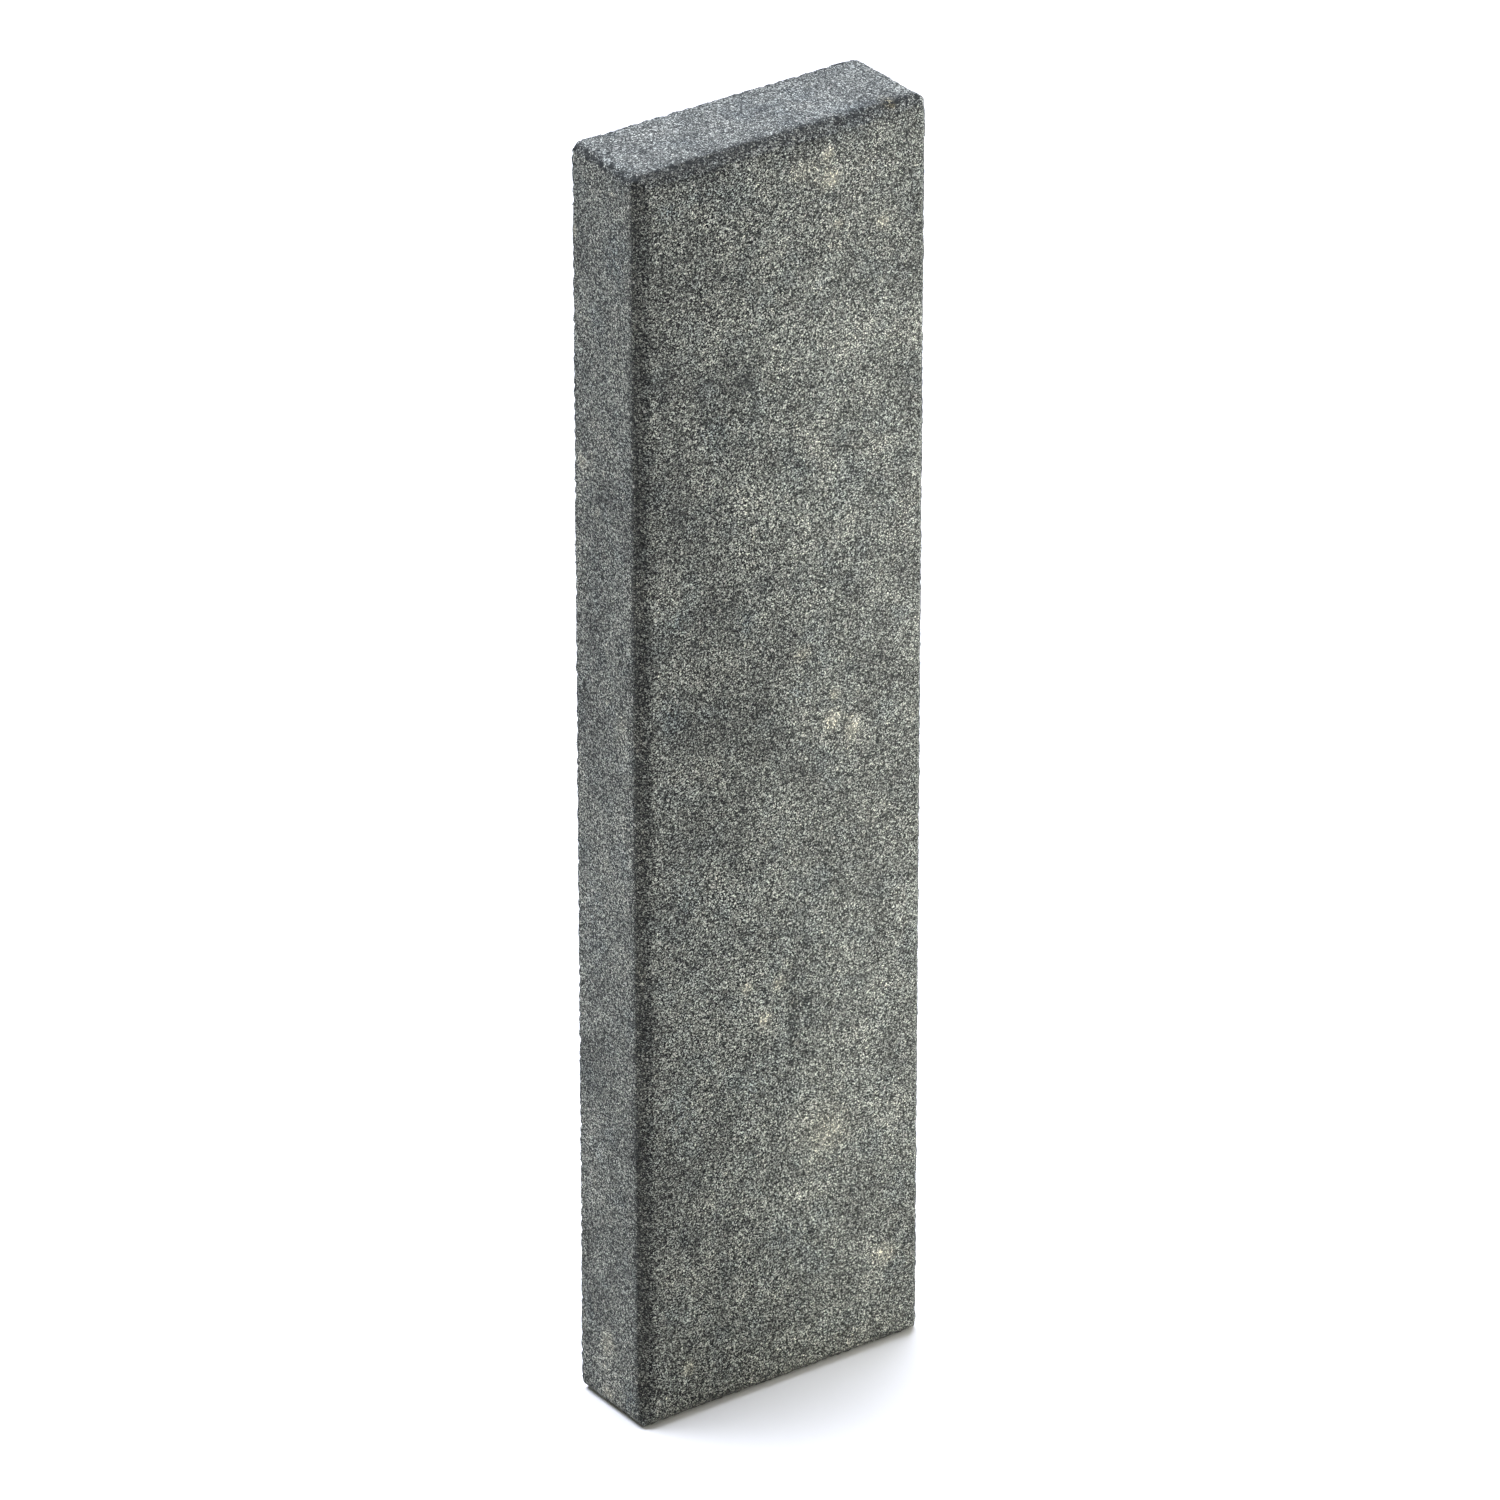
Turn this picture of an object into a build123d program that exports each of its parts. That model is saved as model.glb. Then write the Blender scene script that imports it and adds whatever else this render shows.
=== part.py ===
"""Concrete edging palisade: one upright slab, pressed face forward, standing on its end."""

import os

from build123d import *

# Overall size of the slab as it stands, in millimetres
HEIGHT = 1000.0
WIDTH = 250.0
THICKNESS = 80.0

# Chamfer that the press stamp leaves around the wide front face
FACE_CHAMFER = 8.0

# Rounding in the four upright corners of the mould box, now the short edges through the thickness
CORNER_RADIUS = 7.0

# Softened arrises: along the chamfer, and around the plain back that lay on the board
ARRIS_RADIUS = 1.5
BACK_RADIUS = 2.0

# Reference planes: the outline is drawn on the back face and pushed towards the front, -Y
back_plane = Plane.XZ.offset(-THICKNESS / 2)

with BuildPart() as palisade:
    # Slab as the stamp leaves it: sharp outline with a mitred chamfer around the front face
    with BuildSketch(back_plane) as stamped_outline:
        Rectangle(WIDTH, HEIGHT, align=(Align.CENTER, Align.MIN))
    extrude(amount=THICKNESS)
    front_edges = faces().sort_by(Axis.Y)[0].edges()
    chamfer(front_edges, length=FACE_CHAMFER)

    # Mould box around it: its rounded corners trim the outline through the whole thickness
    with BuildSketch(back_plane) as mould_outline:
        with Locations((0, HEIGHT / 2)):
            RectangleRounded(WIDTH, HEIGHT, CORNER_RADIUS)
    extrude(amount=THICKNESS, mode=Mode.INTERSECT)

    # Arrises worn soft, first around the back face, then around the front face
    fillet(faces().sort_by(Axis.Y)[-1].edges(), radius=BACK_RADIUS)
    fillet(faces().sort_by(Axis.Y)[0].edges(), radius=ARRIS_RADIUS)

palisade.part.label = "palisade"

os.makedirs("parts", exist_ok=True)
export_step(palisade.part, "parts/palisade.step")
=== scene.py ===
"""Looks of a pressed concrete edging palisade: rough skin, strewn sand, melange colour, studio."""

import math

import bmesh
import bpy
import numpy as np
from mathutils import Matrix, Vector


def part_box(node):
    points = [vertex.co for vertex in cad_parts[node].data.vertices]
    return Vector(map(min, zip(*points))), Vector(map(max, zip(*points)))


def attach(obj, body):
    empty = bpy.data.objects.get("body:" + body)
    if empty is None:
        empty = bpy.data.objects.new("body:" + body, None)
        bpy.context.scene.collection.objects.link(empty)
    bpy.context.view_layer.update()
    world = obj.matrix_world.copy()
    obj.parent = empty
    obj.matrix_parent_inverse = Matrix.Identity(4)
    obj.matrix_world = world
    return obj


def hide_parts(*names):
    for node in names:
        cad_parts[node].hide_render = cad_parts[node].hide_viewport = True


bl_info = {
    "name": "Concrete Edging Palisade",
    "version": (1, 0, 0),
    "blender": (4, 5, 0),
    "location": "3D View > Sidebar > Palisade",
    "description": "Dresses a pressed concrete slab with its rough skin, sand and melange colour",
    "category": "Object",
}

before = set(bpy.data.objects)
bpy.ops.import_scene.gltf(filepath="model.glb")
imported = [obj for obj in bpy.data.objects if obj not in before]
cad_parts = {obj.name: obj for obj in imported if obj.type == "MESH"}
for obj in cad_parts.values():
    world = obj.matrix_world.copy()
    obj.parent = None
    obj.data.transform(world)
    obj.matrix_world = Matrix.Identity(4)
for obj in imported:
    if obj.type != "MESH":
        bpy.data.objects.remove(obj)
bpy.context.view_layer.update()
SLAB_NODE = "palisade"
BODY = "root"
SLAB_LOW, SLAB_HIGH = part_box(SLAB_NODE)

# Grid lines near an edge of the slab, in shares of the chamfer's width: two close beside the arris
CHAMFER_LINES = (0.0, 0.25, 0.5, 0.75, 0.92, 1.0, 1.08)

# Halvings that draw a grid point onto the slab, the last by less than a micrometre, and the depth of
# the core that it is drawn towards, in shares of the chamfer's width
HALVINGS = 22
CORE_INSET = 1.5
SKIN_SEED = 3.0
LOT_SEED_STEP = 10

# How deep under its own face, in metres, a face's marks and colours still show
FRONT_MARK_DEPTH = 0.020
SIDE_MARK_DEPTH = 0.004
FRONT_MORTAR_DEPTH = 0.006
SIDE_SHADE_DEPTH = 0.003
FRONT_SPECKLE_DEPTH = 0.010
HEAD_DEPTH = 0.004

# The pale drift over the front face, partly paler mortar and partly painted light from the right:
# where it starts, and how wide it rises, in metres
DRIFT_START = -0.105
DRIFT_WIDTH = 0.185

# Brightness of the mortar, and what the head (painted light), the left side (painted shade) and the
# drift add to it
BRIGHTNESS = 0.98
HEAD_PAINTED_LIGHT = 0.14
SIDE_PAINTED_SHADE = -0.05
DRIFT_AND_LIGHT_BRIGHTER = 0.18

# Contrast of the speckle, what the head, the front face and the drift add to it, and the share that
# a bloom covers
CONTRAST = 0.83
HEAD_CONTRAST = -0.19
FRONT_CONTRAST = 0.12
DRIFT_CONTRAST = -0.12
BLOOM_COVER = 0.6

# Share of the coarse grains that left a pore, and what the head adds to it
PORES = 0.12
HEAD_PORES = 0.20

# Grains lie only where the normal's upward part and the height over the floor, in metres, are more
FOOT_NORMAL = -0.85
FOOT_HEIGHT = 0.0013

# The darkened chamfer, partly rubbed dense and partly painted shade, in metres: slack in telling it
# from the faces beside it, and its fading there
CHAMFER_SLACK = 0.0006
CHAMFER_FADE = 0.003

# How much of the darkening, partly rubbing and partly painted shade, lies beside the chamfer and at
# the foot, and how much of it the inner half, the head's right end and the right side lack
BESIDE_RUB_AND_SHADE = 0.4
FOOT_RUB_AND_SHADE = 0.05
INNER_LACK = 0.6
HEAD_LACK = 0.45
RIGHT_LACK = 0.9

# Wear of the arrises: how much wider it is round a corner, how much of it shows as holes below the
# head's band and in the front face's, and how wide the two bands are in shares of the chamfer's width
CORNER_WEAR = 1.6
BODY_HOLES = 0.45
FRONT_HOLES = 0.2
HEAD_BAND = 1.5
FRONT_BAND = 0.4

# Marks on the wide front face and on the left side. Each is its place across (x on the front, y on
# the side) and its height, its half width and half height, all in metres, then its strength; clouds
# brighten or darken the mortar by that share
FRONT_BLOOMS = (
    (0.0362, 0.9770, 0.0045, 0.0050, 1.0),
    (0.0375, 0.9585, 0.0070, 0.0070, 1.0),
    (0.0832, 0.9136, 0.0040, 0.0040, 0.8),
    (0.0456, 0.9226, 0.0030, 0.0030, 0.8),
    (0.0120, 0.9700, 0.0130, 0.0080, 0.35),
    (0.0413, 0.5340, 0.0060, 0.0070, 0.9),
    (0.0585, 0.5215, 0.0060, 0.0090, 0.8),
    (0.0155, 0.5950, 0.0070, 0.0050, 0.5),
    (0.0430, 0.5540, 0.0035, 0.0035, 0.9),
    (0.0360, 0.1960, 0.0200, 0.0200, 0.45),
    (0.0904, 0.0775, 0.0080, 0.0080, 0.6),
    (-0.0181, 0.3090, 0.0045, 0.0050, 0.9),
    (-0.0336, 0.3400, 0.0040, 0.0040, 0.8),
    (-0.0060, 0.3350, 0.0045, 0.0045, 0.8),
    (-0.0860, 0.0420, 0.0040, 0.0050, 1.0),
)
SIDE_BLOOMS = (
    (0.0059, 0.0539, 0.0070, 0.0100, 0.8),
    (0.0307, 0.7582, 0.0040, 0.0050, 0.8),
    (0.0380, 0.9340, 0.0030, 0.0040, 0.8),
    (0.0060, 0.0120, 0.0060, 0.0060, 0.5),
    (-0.0150, 0.5700, 0.0060, 0.0100, 0.4),
)
FRONT_SMUDGES = (
    (-0.0344, 0.8220, 0.0120, 0.0160, 0.9),
    (-0.0904, 0.7365, 0.0100, 0.0140, 0.9),
    (-0.0790, 0.6270, 0.0060, 0.0120, 0.9),
    (-0.0517, 0.6470, 0.0230, 0.0160, 0.6),
    (-0.0473, 0.3730, 0.0160, 0.0160, 0.6),
    (0.0172, 0.3625, 0.0050, 0.0100, 1.0),
    (0.0474, 0.3010, 0.0050, 0.0060, 0.8),
    (0.0078, 0.3070, 0.0060, 0.0330, 1.0),
    (0.0200, 0.3120, 0.0070, 0.0080, 1.0),
    (-0.0850, 0.1500, 0.0160, 0.0200, 0.5),
    (-0.0500, 0.1120, 0.0120, 0.0100, 0.5),
)
SIDE_SMUDGES = (
    # The first six lie in a row just under the head's arris: painted shade of its broken pits
    (0.0320, 0.9945, 0.0045, 0.0035, 1.0),
    (0.0190, 0.9960, 0.0040, 0.0030, 1.0),
    (0.0050, 0.9945, 0.0035, 0.0040, 1.0),
    (-0.0120, 0.9950, 0.0030, 0.0025, 0.9),
    (-0.0240, 0.9945, 0.0035, 0.0035, 1.0),
    (-0.0350, 0.9960, 0.0040, 0.0030, 1.0),
    (0.0250, 0.7100, 0.0100, 0.0200, 0.4),
    (0.0050, 0.8800, 0.0060, 0.0120, 0.5),
    (0.0300, 0.2800, 0.0080, 0.0250, 0.4),
)
FRONT_SLATE = (
    (-0.0930, 0.6520, 0.0090, 0.0090, 0.9),
    (-0.0350, 0.6330, 0.0070, 0.0100, 1.0),
    (-0.0980, 0.5800, 0.0080, 0.0150, 0.9),
    (0.0120, 0.5650, 0.0110, 0.0080, 0.9),
    (-0.1000, 0.9700, 0.0120, 0.0060, 0.9),
    (-0.0700, 0.9740, 0.0140, 0.0050, 0.8),
    (-0.0600, 0.7900, 0.0140, 0.0200, 0.6),
    (-0.0850, 0.4300, 0.0130, 0.0250, 0.7),
    (-0.0300, 0.2600, 0.0200, 0.0150, 0.6),
    (-0.0900, 0.2500, 0.0120, 0.0250, 0.7),
    (0.0050, 0.1200, 0.0200, 0.0150, 0.5),
)
SIDE_SLATE = (
    (-0.0212, 0.0190, 0.0070, 0.0120, 1.0),
    (-0.0100, 0.9300, 0.0120, 0.0250, 0.7),
    (0.0200, 0.4000, 0.0140, 0.0400, 0.5),
)
FRONT_CLOUDS = (
    (-0.0450, 0.5650, 0.0600, 0.0600, -0.20),
    (0.0700, 0.4500, 0.0300, 0.0500, -0.20),
    (0.0650, 0.9300, 0.0350, 0.0400, -0.12),
    (0.0180, 0.8400, 0.0250, 0.0500, 0.15),
    (-0.0250, 0.7400, 0.0250, 0.0400, 0.12),
    (-0.0750, 0.7200, 0.0300, 0.0600, -0.08),
    (-0.0500, 0.3700, 0.0550, 0.0400, 0.14),
    (0.0100, 0.1500, 0.0350, 0.0500, 0.12),
    (0.0500, 0.0650, 0.0500, 0.0400, 0.18),
    (-0.0200, 0.0150, 0.1300, 0.0180, 0.10),
    (0.0900, 0.2000, 0.0300, 0.0900, 0.10),
    (0.1150, 0.7900, 0.0200, 0.1200, -0.08),
)
FRONT_RUST = ((0.0932, 0.9985, 0.0045, 0.0030, 1.0),)

# Holes where grains broke out along the head's left and front arrises, painted near-black as the
# shade inside them: place and radius in metres
HEAD_PITS = (
    (-0.1243, 0.0375, 0.9960, 0.0017),
    (-0.1223, 0.0260, 0.9985, 0.0019),
    (-0.1175, 0.0180, 1.0000, 0.0015),
    (-0.1140, 0.0107, 1.0000, 0.0018),
    (-0.1248, 0.0215, 0.9945, 0.0018),
    (-0.1243, 0.0050, 0.9960, 0.0022),
    (-0.1248, -0.0005, 0.9940, 0.0017),
    (-0.1245, -0.0200, 0.9955, 0.0018),
    (-0.1216, -0.0310, 0.9990, 0.0017),
    (-0.0906, -0.0325, 0.9995, 0.0017),
    (-0.0787, -0.0325, 0.9995, 0.0014),
    (0.0485, -0.0325, 0.9995, 0.0017),
    (0.0700, -0.0325, 0.9995, 0.0017),
    (0.0920, -0.0325, 0.9995, 0.0014),
    (0.0990, -0.0340, 0.9985, 0.0017),
    (0.1080, -0.0325, 0.9995, 0.0017),
    (0.1170, -0.0330, 0.9990, 0.0019),
)

# Tones of the speckle's grains and of the strewn ones, by chance, in shares of the mortar's own
SPECKLE_TONES = (
    (0.0, (0.003, 0.003, 0.003)),
    (0.20, (0.015, 0.015, 0.015)),
    (0.36, (0.12, 0.12, 0.12)),
    (0.55, (0.66, 0.66, 0.66)),
    (0.75, (2.0, 2.0, 2.0)),
    (0.91, (4.3, 4.3, 4.27)),
    (1.0, (6.8, 6.77, 6.7)),
)
SAND_TONES = (
    (0.0, (0.05, 0.05, 0.05)),
    (0.25, (0.36, 0.36, 0.36)),
    (0.6, (1.05, 1.05, 1.05)),
    (0.85, (2.1, 2.1, 2.08)),
    (0.985, (3.2, 3.19, 3.12)),
    (1.0, (7.0, 6.9, 6.5)),
)

# How far a hole, a pit of the head and a pore go down to their dark painted shade, and how strong a
# fleck is
HOLE_COVER = 0.88
PIT_COVER = 0.97
PORE_COVER = 0.8
FLECK_COVER = 0.8

# Ragged edge of the head's pits: how far it wanders, and the scale of its noise
RAGGED_EDGE = 0.0022
RAGGED_SCALE = 900.0

# Near-black painted shade inside holes, pits and pores
HOLE_SHADE_COLOUR = (0.024, 0.026, 0.023)
FLECK_COLOUR = (0.50, 0.48, 0.41)
# Tint that darkens the chamfers: partly their rubbed dense surface, partly painted shade
RUB_AND_SHADE_TINT = (0.55, 0.54, 0.52)

# Coarse grains beside the speckle: their width in speckle grains, how much of one its pore or its
# fleck fills, and the chance over which one is a fleck
COARSE_GRAINS = 2.5
PORE_WIDTH = 0.42
FLECK_WIDTH = 0.6
FLECK_CHANCE = 0.995

# Studio: softboxes as name, place, aim, width, height, power and colour; the rest is named
SOFTBOXES = (
    ("left softbox", (-1.4, 1.2, 0.8), (-0.1, 0, 0.5), 0.9, 2.4, 6, (0.98, 1.0, 0.98)),
    ("right softbox", (0.82, -0.55, 0.4), (0.02, -0.04, 0.32), 0.4, 1.6, 10.5, (1.0, 1.0, 1.0)),
    ("front softbox", (1.9, -2.0, 1.1), (0.1, -0.4, 0.1), 2.0, 2.0, 21, (1.0, 1.0, 1.0)),
)
OVERHEAD_POWER = 7.1
OVERHEAD_SPREAD = math.radians(56)
OVERHEAD_LEAN = math.radians(17)
OVERHEAD_COLOUR = (0.945, 1.0, 1.24)
DIM_AIR = (0.95, 0.98, 0.97, 1.0)
DIM_AIR_STRENGTH = 0.08
PALE_BACKGROUND = (0.93, 0.94, 0.95, 1.0)
FLOOR_SIDES = 96
CAMERA_AIM = (-0.0022, 0.0, 0.5058)
SENSOR_WIDTH = 36.0


class PalisadeSkinSettings(bpy.types.PropertyGroup):
    """Shape and relief of the pressed surface"""

    cell: bpy.props.FloatProperty(
        name="Cell", description="Edge length of the mesh cells on the faces", default=0.00295,
        unit="LENGTH")
    chamfer: bpy.props.FloatProperty(
        name="Chamfer", description="Width of the chamfer around the front face", default=0.008,
        unit="LENGTH")
    corners: bpy.props.FloatVectorProperty(
        name="Corners",
        description="Radius of the worn corners: foot left, foot right, head left, head right",
        default=(0.009, 0.0055, 0.007, 0.013), size=4, unit="LENGTH")
    arris: bpy.props.FloatProperty(
        name="Arris", description="Softening of every arris", default=0.0008, unit="LENGTH")
    wave_height: bpy.props.FloatProperty(
        name="Wave height", description="Height of the slow unevenness", default=0.0006,
        unit="LENGTH")
    wave_size: bpy.props.FloatProperty(
        name="Wave size", description="Length of one slow wave", default=0.030, unit="LENGTH")
    grain_height: bpy.props.FloatProperty(
        name="Grain height", description="Height of the sandy grain", default=0.0011, unit="LENGTH")
    grain_size: bpy.props.FloatProperty(
        name="Grain size", description="Width of one bump of the sandy grain", default=0.0042,
        unit="LENGTH")
    chip_depth: bpy.props.FloatProperty(
        name="Chip depth", description="Depth of the crumbled places along the arrises",
        default=0.0019,
        unit="LENGTH")
    chip_size: bpy.props.FloatProperty(
        name="Chip size", description="Length of one crumbled place", default=0.0050, unit="LENGTH")
    arris_width: bpy.props.FloatProperty(
        name="Arris width", description="How far from an arris the wear reaches", default=0.004,
        unit="LENGTH")


class PalisadeSandSettings(bpy.types.PropertyGroup):
    """Sand grains that stand out of the skin"""

    lots: bpy.props.IntProperty(
        name="Lots", description="How many separate lots of grains are strewn", default=4, min=1,
        max=4)
    per_lot: bpy.props.IntProperty(
        name="Grains per lot", description="Grains in one lot", default=23000, min=100, max=24500)
    smallest: bpy.props.FloatProperty(
        name="Smallest", description="Radius of the smallest grain", default=0.0004, unit="LENGTH")
    largest: bpy.props.FloatProperty(
        name="Largest", description="Radius of the largest grain", default=0.0008, unit="LENGTH")
    sunk: bpy.props.FloatProperty(
        name="Sunk",
        description="How deep a grain's centre lies under the skin, in shares of its radius",
        default=0.12)
    seed: bpy.props.IntProperty(name="Seed", description="Seed of the grains' places", default=7)


class PalisadeConcreteSettings(bpy.types.PropertyGroup):
    """Colours of the melange concrete"""

    dark: bpy.props.FloatVectorProperty(
        name="Dark", description="Dark clouds", default=(0.0965, 0.0985, 0.0838), subtype="COLOR",
        size=3)
    middle: bpy.props.FloatVectorProperty(
        name="Middle", description="Body colour", default=(0.1336, 0.1376, 0.1159), subtype="COLOR",
        size=3)
    pale: bpy.props.FloatVectorProperty(
        name="Pale", description="Pale clouds", default=(0.1718, 0.1735, 0.1445), subtype="COLOR",
        size=3)
    slate: bpy.props.FloatVectorProperty(
        name="Slate", description="Bluish patches", default=(0.1053, 0.1239, 0.1186),
        subtype="COLOR", size=3)
    pit: bpy.props.FloatVectorProperty(
        name="Pit", description="Dark smudges and pits", default=(0.050, 0.053, 0.048),
        subtype="COLOR",
        size=3)
    lime: bpy.props.FloatVectorProperty(
        name="Lime", description="Lime blooms", default=(0.50, 0.475, 0.36), subtype="COLOR",
        size=3)
    rust: bpy.props.FloatVectorProperty(
        name="Rust", description="Iron-brown spots", default=(0.20, 0.165, 0.075), subtype="COLOR",
        size=3)
    cloud_size: bpy.props.FloatProperty(
        name="Cloud size", description="Width of one cloud", default=0.045, unit="LENGTH")
    speckle_size: bpy.props.FloatProperty(
        name="Speckle size", description="Width of one grain of the speckle", default=0.00078,
        unit="LENGTH")
    bump_height: bpy.props.FloatProperty(
        name="Bump height", description="Height of the finest grain", default=0.0006, unit="LENGTH")


class PalisadeStageSettings(bpy.types.PropertyGroup):
    """Floor, lights and camera"""

    floor_colour: bpy.props.FloatVectorProperty(
        name="Floor colour", description="Colour of the plain floor", default=(0.80, 0.785, 0.72),
        subtype="COLOR", size=3)
    floor_radius: bpy.props.FloatProperty(
        name="Floor radius", description="Radius of the round floor", default=14.0, unit="LENGTH")
    azimuth: bpy.props.FloatProperty(
        name="Azimuth", description="Camera's turn around the slab", default=math.radians(-35.68),
        subtype="ANGLE")
    elevation: bpy.props.FloatProperty(
        name="Elevation", description="Camera's angle above the horizon",
        default=math.radians(27.86),
        subtype="ANGLE")
    distance: bpy.props.FloatProperty(
        name="Distance", description="From the camera to its aim", default=8.0, unit="LENGTH")
    lens: bpy.props.FloatProperty(
        name="Lens", description="Focal length in millimetres", default=269.5)


def skin_settings():
    return bpy.context.scene.palisade_skin


def sand_settings():
    return bpy.context.scene.palisade_sand


def concrete_settings():
    return bpy.context.scene.palisade_concrete


def stage_settings():
    return bpy.context.scene.palisade_stage


# Node helpers


def add_node(tree, kind, inputs=None, **settings):
    """Adds a node, sets its options, and gives or links its inputs by name or number."""
    node = tree.nodes.new(kind)
    for option, value in settings.items():
        setattr(node, option, value)
    for socket, value in (inputs or {}).items():
        if isinstance(value, bpy.types.NodeSocket):
            tree.links.new(value, node.inputs[socket])
        else:
            node.inputs[socket].default_value = value
    return node


def math_node(tree, operation, first, second=0.0, clamp=False):
    return add_node(
        tree, "ShaderNodeMath", {0: first, 1: second}, operation=operation,
        use_clamp=clamp).outputs[0]


def scaled_vector(tree, vector, factor):
    return add_node(
        tree, "ShaderNodeVectorMath", {0: vector, "Scale": factor}, operation="SCALE").outputs[0]


def named_input(tree, name, kind, default=None):
    """Adds a named input to a geometry tree and returns its identifier."""
    socket = tree.interface.new_socket(name=name, in_out="INPUT", socket_type=kind)
    if default is not None:
        socket.default_value = default
    return socket.identifier


def ramp_node(tree, factor, stops):
    """Colour ramp from (place, colour) pairs."""
    node = add_node(tree, "ShaderNodeValToRGB", {0: factor})
    elements = node.color_ramp.elements
    while len(elements) < len(stops):
        elements.new(0.5)
    for element, (place, colour) in zip(elements, stops):
        element.position = place
        element.color = (*colour, 1.0)
    return node.outputs["Color"]


def mixed_colour(tree, factor, first, second, blend="MIX"):
    node = add_node(tree, "ShaderNodeMix", data_type="RGBA", blend_type=blend)
    for number, value in ((0, factor), (6, first), (7, second)):
        socket = node.inputs[number]
        if isinstance(value, bpy.types.NodeSocket):
            tree.links.new(value, socket)
        elif isinstance(value, (int, float)):
            socket.default_value = value
        else:
            socket.default_value = (*value, 1.0)
    return node.outputs[2]


def attribute_value(tree, name):
    return add_node(tree, "ShaderNodeAttribute", attribute_name=name).outputs["Fac"]


# Slab skin


def grid_lines(low, high, band, cell):
    """Grid lines along one axis: fine ones over the chamfer's band at both ends, even between."""
    ends = band * np.array(CHAMFER_LINES[:-1])
    start = band * CHAMFER_LINES[-1]
    middle = np.linspace(low + start, high - start, round((high - low - 2 * start) / cell) + 1)
    return np.concatenate([low + ends, middle, (high - ends)[::-1]])


def box_of_quads(name, lines):
    """Closed mesh of quads on the six faces of a box, and the places of its vertices."""
    shape = tuple(len(line) for line in lines)
    inside = np.zeros(shape, dtype=bool)
    inside[1:-1, 1:-1, 1:-1] = True
    numbers = np.full(shape, -1)
    numbers[~inside] = np.arange((~inside).sum())
    places = np.stack(np.meshgrid(*lines, indexing="ij"), axis=-1)[~inside]
    quads = []
    for axis in range(3):
        for end in (0, -1):
            sheet = numbers.take(end, axis=axis)
            corners = [sheet[:-1, :-1], sheet[1:, :-1], sheet[1:, 1:], sheet[:-1, 1:]]
            ring = np.stack(corners, axis=-1).reshape(-1, 4)
            outward = (end == -1) != (axis == 1)
            quads.append(ring if outward else ring[:, ::-1])
    mesh = bpy.data.meshes.new(name)
    mesh.from_pydata(places.tolist(), [], np.concatenate(quads).tolist())
    return mesh, places


def corner_radii(places, settings):
    """Radius of the rounded corner nearest to each place."""
    right = (places[:, 0] > (SLAB_LOW.x + SLAB_HIGH.x) / 2).astype(int)
    head = (places[:, 2] > (SLAB_LOW.z + SLAB_HIGH.z) / 2).astype(int)
    return np.array(settings.corners)[2 * head + right]


def past_outline(places):
    """How far each place lies past the slab's sides and past its ends, negative inside."""
    low, high = np.array(SLAB_LOW), np.array(SLAB_HIGH)
    past = np.abs(places - (low + high) / 2) - (high - low) / 2
    return past[:, 0], past[:, 2]


def slab_depths(places, settings):
    """Height of each place over front, back, mould outline and chamfers, negative inside."""
    front, back = SLAB_LOW.y - places[:, 1], places[:, 1] - SLAB_HIGH.y
    across, along = past_outline(places)
    corner = corner_radii(places, settings)
    outline = np.hypot(np.maximum(across + corner, 0), np.maximum(along + corner, 0)) - corner
    outline += np.minimum(np.maximum(across, along) + corner, 0)
    side_chamfer = (front + across + settings.chamfer) / math.sqrt(2)
    end_chamfer = (front + along + settings.chamfer) / math.sqrt(2)
    return np.array([front, back, outline, side_chamfer, end_chamfer])


def outside_slab(places, settings):
    """True where a place lies outside the slab with its softened arrises."""
    lifts = slab_depths(places, settings) + settings.arris
    reach = np.sqrt((np.maximum(lifts, 0) ** 2).sum(axis=0)) + np.minimum(lifts.max(axis=0), 0)
    return reach > settings.arris


def drawn_onto_slab(places, settings):
    """Draws places on a box inwards onto the slab, halving the gap until they meet it."""
    inset = CORE_INSET * settings.chamfer
    core = np.clip(places, np.array(SLAB_LOW) + inset, np.array(SLAB_HIGH) - inset)
    near, far = np.zeros(len(places)), np.ones(len(places))
    for _ in range(HALVINGS):
        middle = (near + far) / 2
        outside = outside_slab(core + (places - core) * middle[:, None], settings)
        near, far = np.where(outside, near, middle), np.where(outside, middle, far)
    return core + (places - core) * far[:, None]


def baked_mesh(piece, name):
    """Plain mesh of an object with its modifiers applied."""
    bpy.context.view_layer.update()
    graph = bpy.context.evaluated_depsgraph_get()
    mesh = bpy.data.meshes.new_from_object(piece.evaluated_get(graph))
    mesh.name = name
    old = piece.data
    piece.modifiers.clear()
    piece.data = mesh
    if old.users == 0:
        bpy.data.meshes.remove(old)
    return mesh


def write_attribute(mesh, name, values):
    attribute = mesh.attributes.new(name, "FLOAT", "POINT")
    attribute.data.foreach_set("value", np.asarray(values, dtype=np.float32))


def fading(depth, reach):
    """1 at no depth, falling evenly to 0 at the reach."""
    return np.clip(1 - depth / reach, 0, 1)


def arris_nearness(places, settings):
    """1 on an arris and along the middle of a rounded corner, 0 past the reach of the wear."""
    depths = np.sort(np.abs(slab_depths(places, settings)), axis=0)
    nearness = fading(depths[1], settings.arris_width)
    across, along = past_outline(places)
    turning = fading(np.abs(across - along), CORNER_WEAR * settings.arris_width)
    turning *= np.maximum(across, along) > -corner_radii(places, settings)
    return np.maximum(nearness, turning)


def crumbling_share(places, settings):
    """Share of an arris's wear that shows as holes: most at the head, least by the front face."""
    front = slab_depths(places, settings)[0]
    head = np.where(places[:, 2] > SLAB_HIGH.z - HEAD_BAND * settings.chamfer, 1.0, BODY_HOLES)
    return head * np.where(front > -FRONT_BAND * settings.chamfer, FRONT_HOLES, 1.0)


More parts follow.
